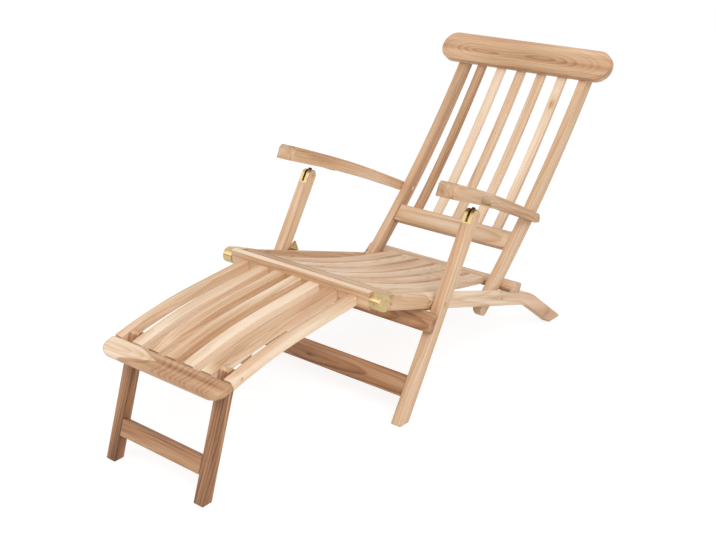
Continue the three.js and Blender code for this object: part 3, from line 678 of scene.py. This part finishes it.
# Side view of the footrest's rear rail, in millimetres along and up from its hinge's axis
RAIL_RADIUS = 27.6
RAIL_FRONT, RAIL_FOOT, RAIL_TOP = -18.4, -20.5, 27.4
RAIL_SHOULDER = 9.5  # where the round back ends and the upstand begins
RAIL_TOP_BACK = -3.3
RAIL_SLOPE = math.radians(5)

FOOTREST_LEG_LEAN = math.radians(18.7)


def rear_rail(ease):
    """The footrest's rear rail: round behind, with an upstand and an upright front face."""
    _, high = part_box("footrest_rear_rail")
    pin_low, pin_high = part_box("footrest_hinge_pin_left")
    axis = (pin_low + pin_high) / 2
    first, last = math.asin(RAIL_FOOT / RAIL_RADIUS), math.asin(RAIL_SHOULDER / RAIL_RADIUS)
    steps = 10
    angles = [first + (last - first) * i / steps for i in range(steps + 1)]
    round_back = [(RAIL_RADIUS * math.cos(a), RAIL_RADIUS * math.sin(a)) for a in angles]
    outline = [
        (RAIL_FRONT, RAIL_FOOT), *round_back, (RAIL_TOP_BACK, RAIL_TOP), (RAIL_FRONT, RAIL_TOP)
    ]
    cos, sin = math.cos(RAIL_SLOPE), math.sin(RAIL_SLOPE)
    turned = [
        (axis.y + (along * cos - up * sin) * MILLIMETRE,
         axis.z + (along * sin + up * cos) * MILLIMETRE)
        for along, up in outline
    ]
    return bar_across("footrest_rear_rail", turned, high.x, ease)


def dress_metal(context, body, slot, finish, *nodes):
    """Dresses metal fittings as packed."""
    material = finish_of(finish, context)
    for node in nodes:
        mesh = merged_copy(node)
        shade(mesh, FITTING_EDGE_ANGLE)
        piece = add_piece(node + "_fitting", mesh, body, material)
        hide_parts(node)


# Geometry Nodes
def geometry_tree(name, sockets):
    """A tree with named inputs, ready to be filled."""
    group = bpy.data.node_groups.new(name, "GeometryNodeTree")
    group.interface.new_socket("Geometry", in_out="INPUT", socket_type="NodeSocketGeometry")
    for label, kind, default in sockets:
        socket = group.interface.new_socket(label, in_out="INPUT", socket_type=kind)
        if default is not None:
            socket.default_value = default
    group.interface.new_socket("Geometry", in_out="OUTPUT", socket_type="NodeSocketGeometry")
    tree = Tree(group.nodes, group.links)
    entry = group.nodes.new("NodeGroupInput")
    exits = group.nodes.new("NodeGroupOutput")
    wires = {socket.name: Wire(tree, socket) for socket in entry.outputs if socket.name}
    return group, tree, wires, exits


def end_tree(tree, exits, copies, material):
    """Makes the copies real, gives them their material and sends them out of the tree."""
    real = tree.node("GeometryNodeRealizeInstances", {}, [copies])
    done = tree.node("GeometryNodeSetMaterial", {}, {"Geometry": real, "Material": material})
    tree.links.new(done.socket, exits.inputs[0])


def row_tree():
    """Copies of one slat on the points of a row, each with its own tone and slice."""
    group, tree, wires, exits = geometry_tree(
        "Slat row",
        [("Slat", "NodeSocketObject", None), ("Material", "NodeSocketMaterial", None)],
    )
    slat = tree.node("GeometryNodeObjectInfo", {}, {"Object": wires["Slat"]}, 4)
    copies = tree.node(
        "GeometryNodeInstanceOnPoints", {},
        {"Points": wires["Geometry"], "Instance": slat},
    )
    end_tree(tree, exits, copies, wires["Material"])
    return group


def fastener_tree():
    """Copies of a screw head on points, turned to face outwards."""
    group, tree, wires, exits = geometry_tree(
        "Fasteners",
        [("Head", "NodeSocketObject", None), ("Material", "NodeSocketMaterial", None),
         ("Radius", "NodeSocketFloat", 0.003)],
    )
    head = tree.node("GeometryNodeObjectInfo", {}, {"Object": wires["Head"]}, 4)
    facing = tree.node(
        "GeometryNodeInputNamedAttribute", {"data_type": "FLOAT_VECTOR"}, {"Name": "facing"}
    )
    turn = tree.node(
        "FunctionNodeAlignRotationToVector", {"axis": "Z"}, {"Vector": facing}
    )
    spin = tree.node(
        "GeometryNodeInputNamedAttribute", {"data_type": "FLOAT"}, {"Name": "spin"}
    )
    slot_turn = tree.node("FunctionNodeAxisAngleToRotation", {}, {"Angle": spin})
    both = tree.node(
        "FunctionNodeRotateRotation", {"rotation_space": "LOCAL"}, [turn, slot_turn]
    )
    copies = tree.node(
        "GeometryNodeInstanceOnPoints", {},
        {"Points": wires["Geometry"], "Instance": head, "Rotation": both,
         "Scale": wires["Radius"]},
    )
    end_tree(tree, exits, copies, wires["Material"])
    return group


def run_tree(name, points, group, values):
    """Runs a tree over a mesh of points and leaves a plain mesh."""
    piece = linked(name, points)
    modifier = piece.modifiers.new(group.name, "NODES")
    modifier.node_group = group
    for item in group.interface.items_tree:
        if item.in_out == "INPUT" and item.name in values:
            modifier[item.identifier] = values[item.name]
    mesh = plain_mesh(piece)
    bpy.data.objects.remove(piece)
    return mesh


def numbered(stem):
    """The CAD nodes that are numbered from 1 after a stem."""
    names = (f"{stem}_{i}" for i in itertools.count(1))
    return list(itertools.takewhile(frame["nodes"].__contains__, names))


def points_mesh(name, places):
    """Loose points for a tree to put copies on."""
    mesh = bpy.data.meshes.new(name)
    mesh.from_pydata([tuple(p) for p in places], [], [])
    return mesh


def lower_underside(mesh, drop):
    """Moves the faces that look down further down."""
    for vert in [v for v in mesh.vertices if v.normal.z < 0]:
        vert.co.z -= drop
    mesh.update()


def slat_row(context, name, body, stem, looks, drop=0.0):
    """A row of like slats: the first one, with its underside lower by drop, at all places."""
    nodes = numbered(stem)
    material = finish_of("sawn_teak", context)
    middles = [(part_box(node)[0].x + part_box(node)[1].x) / 2 for node in nodes]
    slat = merged_copy(nodes[0])
    slat.transform(Matrix.Translation((-middles[0], 0, 0)))
    if drop:
        lower_underside(slat, drop)
    mark_grain(slat)
    shade(slat, context.scene.chair_teak.edge_angle)
    source = linked(name + "_pattern", slat)
    points = points_mesh(name + "_places", [(x, 0, 0) for x in middles])
    store_marks(points, [board_marks(*look) for _, look in zip(nodes, itertools.cycle(looks))])
    mesh = run_tree(name + "_run", points, row_tree(), {"Slat": source, "Material": material})
    bpy.data.objects.remove(source)
    piece = add_piece(name, mesh, body, material)
    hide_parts(*nodes)


def lathe(name, rings, segments=16):
    """A closed round form about Z from (radius, height) rings."""
    points = [
        (radius * math.cos(a), radius * math.sin(a), height)
        for radius, height in rings
        for a in (2 * math.pi * i / segments for i in range(segments))
    ]
    faces = [tuple(reversed(range(segments)))]
    for ring in range(len(rings) - 1):
        for i in range(segments):
            j = (i + 1) % segments
            low, high = ring * segments, (ring + 1) * segments
            faces.append((low + i, low + j, high + j, high + i))
    faces.append(tuple(range(segments * (len(rings) - 1), segments * len(rings))))
    mesh = bpy.data.meshes.new(name)
    mesh.from_pydata(points, [], faces)
    return mesh


def slotted_head():
    """A domed screw head of radius 1 with a slot across it."""
    dome = [(1.0, -0.30), (1.0, 0.0), (0.93, 0.16), (0.70, 0.27), (0.40, 0.33)]
    head = linked("screw_head", lathe("screw_head", dome))
    half_width, slot_floor, reach = 0.11, 0.08, 1.4
    corners = [
        (x, y, z) for z in (slot_floor, 1) for x, y in
        ((-reach, -half_width), (reach, -half_width), (reach, half_width), (-reach, half_width))
    ]
    faces = [(3, 2, 1, 0), (4, 5, 6, 7), (0, 1, 5, 4), (1, 2, 6, 5), (2, 3, 7, 6), (3, 0, 4, 7)]
    mesh = bpy.data.meshes.new("slot_cutter")
    mesh.from_pydata(corners, [], faces)
    cutter = linked("slot_cutter", mesh)
    modifier = head.modifiers.new("Slot", "BOOLEAN")
    modifier.operation, modifier.object, modifier.solver = "DIFFERENCE", cutter, "EXACT"
    plain_mesh(head)
    bpy.data.objects.remove(cutter)
    return head


def fasteners(context, name, body, finish, radius, places):
    """Screws at places, which holds (point, facing, spin) rows in metres and radians."""
    material = finish_of(finish, context)
    head = slotted_head()
    points = points_mesh(name + "_places", [p for p, _, _ in places])
    store(points, "facing", "FLOAT_VECTOR", "POINT", [f for _, f, _ in places])
    store(points, "spin", "FLOAT", "POINT", [s for _, _, s in places])
    mesh = run_tree(
        name + "_run", points, fastener_tree(),
        {"Head": head, "Material": material, "Radius": radius},
    )
    bpy.data.objects.remove(head)
    shade(mesh, SCREW_EDGE_ANGLE)
    return add_piece(name, mesh, body, material)


# Operators
class ChairOperator(bpy.types.Operator):
    """A step that makes its pieces and finishes, or raises an error"""
    bl_options = {"REGISTER", "UNDO"}

    def execute(self, context):
        self.make(context)
        return {"FINISHED"}


class DECKCHAIR_OT_seat_frame(ChairOperator):
    """Dress the seat rails and their cross rails"""
    bl_idname = "deckchair.seat_frame"
    bl_label = "Seat frame"

    def make(self, context):
        dress_boards(context, "seat_frame", "seat_rail_left", "seat_rail_right",
                     "seat_front_rail", "seat_rear_rail")


class DECKCHAIR_OT_seat_slats(ChairOperator):
    """Lay the curved seat slats"""
    bl_idname = "deckchair.seat_slats"
    bl_label = "Seat slats"

    def make(self, context):
        slat_row(
            context, "seat_slats", "seat_frame", "seat_slat",
            [
                (0.24, (21.0, 30, 18), (0.1, 0.0)), (0.14, (22.4, 12, 30), (0.3, 0.1)),
                (0.22, (23.1, 44, 8), (0.1, 0.0)), (0.10, (24.8, 22, 20), (0.3, -0.1)),
                (0.18, (25.5, 6, 26), (0.4, 0.0)), (0.06, (26.2, 34, 20), (0.1, 0.0)),
            ],
        )


class DECKCHAIR_OT_leg_frame(ChairOperator):
    """Dress the front legs and their stretchers"""
    bl_idname = "deckchair.leg_frame"
    bl_label = "Leg frame"

    def make(self, context):
        dress_boards(context, "leg_frame", "leg_left", "leg_right",
                     "leg_upper_stretcher", "leg_lower_stretcher")


class DECKCHAIR_OT_back(ChairOperator):
    """Dress the stiles, the lower rail and the headrest"""
    bl_idname = "deckchair.back"
    bl_label = "Back"

    def make(self, context):
        dress_boards(context, "back_frame", "back_stile_left", "back_stile_right",
                     "back_lower_rail", "headrest")


class DECKCHAIR_OT_back_slats(ChairOperator):
    """Lay the narrow slats of the back"""
    bl_idname = "deckchair.back_slats"
    bl_label = "Back slats"

    def make(self, context):
        slat_row(
            context, "back_slats", "back_frame", "back_slat",
            [
                (0.50, (31.0, 20, 12), (0.1, 0.0)), (0.02, (32.6, 40, 26), (0.0, 0.0)),
                (0.16, (33.3, 14, 24), (0.1, 0.0)), (0.18, (34.9, 26, 8), (0.1, 0.0)),
                (0.08, (35.4, 34, 30), (0.1, 0.0), NO_HEART, (0.155, 0.003, 0.008)),
            ],
        )


class DECKCHAIR_OT_arms(ChairOperator):
    """Dress the two cambered arms"""
    bl_idname = "deckchair.arms"
    bl_label = "Arms"

    def make(self, context):
        boards = context.scene.chair_boards

        def rounded(mesh):
            return soften(mesh, boards.arm_edge, boards.arm_end)

        dress_boards(context, "left_arm", "arm_left", shape=rounded)
        dress_boards(context, "right_arm", "arm_right", shape=rounded)


class DECKCHAIR_OT_footrest(ChairOperator):
    """Dress the footrest's rails and end board"""
    bl_idname = "deckchair.footrest"
    bl_label = "Footrest"

    def make(self, context):
        dress_boards(context, "footrest_frame", "footrest_rail_left", "footrest_rail_right",
                     "footrest_end_board")
        ease = context.scene.chair_boards.rail_edge
        dress_boards(context, "footrest_frame", "footrest_rear_rail",
                     shape=lambda mesh: rear_rail(ease))


class DECKCHAIR_OT_footrest_slats(ChairOperator):
    """Lay the bent slats of the footrest"""
    bl_idname = "deckchair.footrest_slats"
    bl_label = "Footrest slats"

    def make(self, context):
        slat_row(
            context, "footrest_slats", "footrest_frame", "footrest_slat",
            # Each slat's last number is painted top shading: painted light where negative, painted
            # shade where positive
            [
                (0.14, (41.0, 12, 30), (0.15, 0.0), NO_HEART, NO_KNOT, -0.06),
                (0.28, (42.6, 34, 12), (0.1, 0.0), NO_HEART, NO_KNOT, -0.10),
                (0.28, (43.3, 10, 20), (0.2, 0.0), NO_HEART, NO_KNOT, -0.06),
                (0.10, (44.9, 8, 22), (0.1, 0.0), NO_HEART, NO_KNOT, -0.08),
                (0.16, (45.4, 40, 16), (0.1, 0.0), NO_HEART, NO_KNOT, 0.30),
            ],
            drop=context.scene.chair_boards.slat_drop,
        )


class DECKCHAIR_OT_footrest_legs(ChairOperator):
    """Dress the footrest's folding legs"""
    bl_idname = "deckchair.footrest_legs"
    bl_label = "Footrest legs"

    def make(self, context):
        boards = context.scene.chair_boards
        along_legs = (0, math.sin(FOOTREST_LEG_LEAN), math.cos(FOOTREST_LEG_LEAN))

        def taller(mesh):
            stretch(mesh, along_legs, boards.stretcher_drop, boards.stretcher_rise)

        dress_boards(context, "footrest_legs", "footrest_leg_left", "footrest_leg_right")
        dress_boards(context, "footrest_legs", "footrest_stretcher", shape=taller)


class DECKCHAIR_OT_brass_fittings(ChairOperator):
    """Dress the straps, plates, racks, bolts and pins in brass, and the catches in iron"""
    bl_idname = "deckchair.brass_fittings"
    bl_label = "Brass fittings"

    def make(self, context):
        slots = {row["node"]: row["material_slot"] for row in frame["record"]["subparts"]}
        for body, members in frame["record"]["behaviour"]["bodies"].items():
            for finish, slot in (("polished_brass", "brass"), ("oiled_iron", "iron")):
                dress_metal(context, body, slot, finish, *[n for n in members if slots[n] == slot])


class DECKCHAIR_OT_screws(ChairOperator):
    """Set the brass screws on the outer sides of the straps"""
    bl_idname = "deckchair.screws"
    bl_label = "Screws"

    def make(self, context):
        back_share, slot_turn = 0.80, 0.9
        places = []
        for side, name in ((1, "left"), (-1, "right")):
            low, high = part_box("hinge_cap_" + name)
            outer = high.x if side > 0 else low.x
            y = low.y + (high.y - low.y) * back_share
            for share in (0.30, 0.70):
                z = low.z + (high.z - low.z) * share
                places.append(((outer, y, z), (side, 0, 0), slot_turn * share + side))
        fasteners(context, "hinge_cap_screws", "seat_frame", "polished_brass",
                  context.scene.chair_metal.screw_radius, places)


class DECKCHAIR_OT_stage(ChairOperator):
    """Set up the floor, the lamps and the camera"""
    bl_idname = "deckchair.stage"
    bl_label = "Stage"

    def make(self, context):
        look = context.scene.chair_stage
        make_floor()
        make_world(look)
        make_lamp("key_lamp", (2.6, -1.9, 2.9), look.key)
        make_lamp("fill_lamp", (-2.2, -3.0, 2.2), look.fill)
        make_camera(look)


# Stage
def make_floor():
    """A pale floor that shows white to the camera and keeps the chair's shadow."""
    reach = 30
    corners = [(-reach, -reach, 0), (reach, -reach, 0), (reach, reach, 0), (-reach, reach, 0)]
    mesh = bpy.data.meshes.new("floor")
    mesh.from_pydata(corners, [], [(0, 1, 2, 3)])
    floor = linked("floor", mesh)
    material, tree, surface = new_material("studio_floor")
    feed(tree, surface, Base_Color=(0.80, 0.80, 0.80), Roughness=0.9, Specular_IOR_Level=0.1)
    # The glow and the lit soft part add up to white, and the chair's shadow dims the soft part
    glow = tree.node("ShaderNodeEmission", {}, {"Color": (1, 1, 1), "Strength": 0.80})
    soft = tree.node("ShaderNodeBsdfDiffuse", {}, {"Color": (0.30, 0.30, 0.30)})
    both = tree.node("ShaderNodeAddShader", {}, [glow, soft])
    plain = Wire(tree, surface.outputs[0])
    mixed = tree.node("ShaderNodeMixShader", {}, [in_plain_view(tree), plain, both])
    output = next(n for n in tree.nodes if n.type == "OUTPUT_MATERIAL")
    tree.links.new(mixed.socket, output.inputs[0])
    mesh.materials.append(material)


def make_world(look):
    """An even sky that lights the chair and shows white behind it."""
    world = bpy.data.worlds.new("studio")
    bpy.context.scene.world = world
    world.use_nodes = True
    tree = Tree(world.node_tree.nodes, world.node_tree.links)
    for node in list(tree.nodes):
        tree.nodes.remove(node)
    light = tree.node("ShaderNodeBackground", {}, [(1, 1, 1), look.world])
    backdrop = tree.node("ShaderNodeBackground", {}, [(1, 1, 1), 1.0])
    mixed = tree.node("ShaderNodeMixShader", {}, [in_plain_view(tree), light, backdrop])
    output = tree.nodes.new("ShaderNodeOutputWorld")
    tree.links.new(mixed.socket, output.inputs[0])


def make_lamp(name, place, power):
    """A large round lamp that points at the chair's middle."""
    data = bpy.data.lights.new(name, "AREA")
    data.shape, data.size, data.energy = "DISK", 2.6, power
    lamp = linked(name, data)
    lamp.location = place
    aim = Vector((0, 0, 0.35)) - Vector(place)
    lamp.rotation_euler = aim.to_track_quat("-Z", "Y").to_euler()


def make_camera(look):
    """The camera at the photograph's place and angle; its shifts are in pixels."""
    data = bpy.data.cameras.new("camera")
    data.lens, data.sensor_width = look.lens, 36.0
    shift_x, shift_y = 0.3, 1.1
    data.shift_x, data.shift_y = shift_x / PHOTO_WIDTH, shift_y / PHOTO_WIDTH
    camera = linked("camera", data)
    turn, fall = math.radians(39.154), math.radians(21.989)
    camera.location = (1.7496, -2.2086, 1.4100)
    camera.rotation_euler = (math.pi / 2 - fall, 0, turn)
    bpy.context.scene.camera = camera


# Panel and registration
class DECKCHAIR_PT_panel(bpy.types.Panel):
    """Lists the steps that dress the chair, and their settings"""
    bl_label = "Deck chair"
    bl_idname = "DECKCHAIR_PT_panel"
    bl_space_type = "VIEW_3D"
    bl_region_type = "UI"
    bl_category = "Deck chair"

    def draw(self, context):
        for step in STEPS:
            self.layout.operator(step.bl_idname)
        for place, group in SETTINGS.items():
            for name in group.__annotations__:
                self.layout.prop(getattr(context.scene, place), name)


STEPS = (
    DECKCHAIR_OT_stage, DECKCHAIR_OT_seat_frame, DECKCHAIR_OT_seat_slats, DECKCHAIR_OT_leg_frame,
    DECKCHAIR_OT_back, DECKCHAIR_OT_back_slats, DECKCHAIR_OT_arms, DECKCHAIR_OT_footrest,
    DECKCHAIR_OT_footrest_slats, DECKCHAIR_OT_footrest_legs, DECKCHAIR_OT_brass_fittings,
    DECKCHAIR_OT_screws,
)


def register():
    for item in (*SETTINGS.values(), *STEPS, DECKCHAIR_PT_panel):
        bpy.utils.register_class(item)
    for place, group in SETTINGS.items():
        setattr(bpy.types.Scene, place, PointerProperty(type=group))


def unregister():
    for place in SETTINGS:
        delattr(bpy.types.Scene, place)
    for item in reversed((*SETTINGS.values(), *STEPS, DECKCHAIR_PT_panel)):
        bpy.utils.unregister_class(item)


def main():
    register()
    bpy.context.scene.view_settings.view_transform = "Standard"
    for step in STEPS:
        package, name = step.bl_idname.split(".")
        getattr(getattr(bpy.ops, package), name)()


if __name__ == "__main__":
    main()
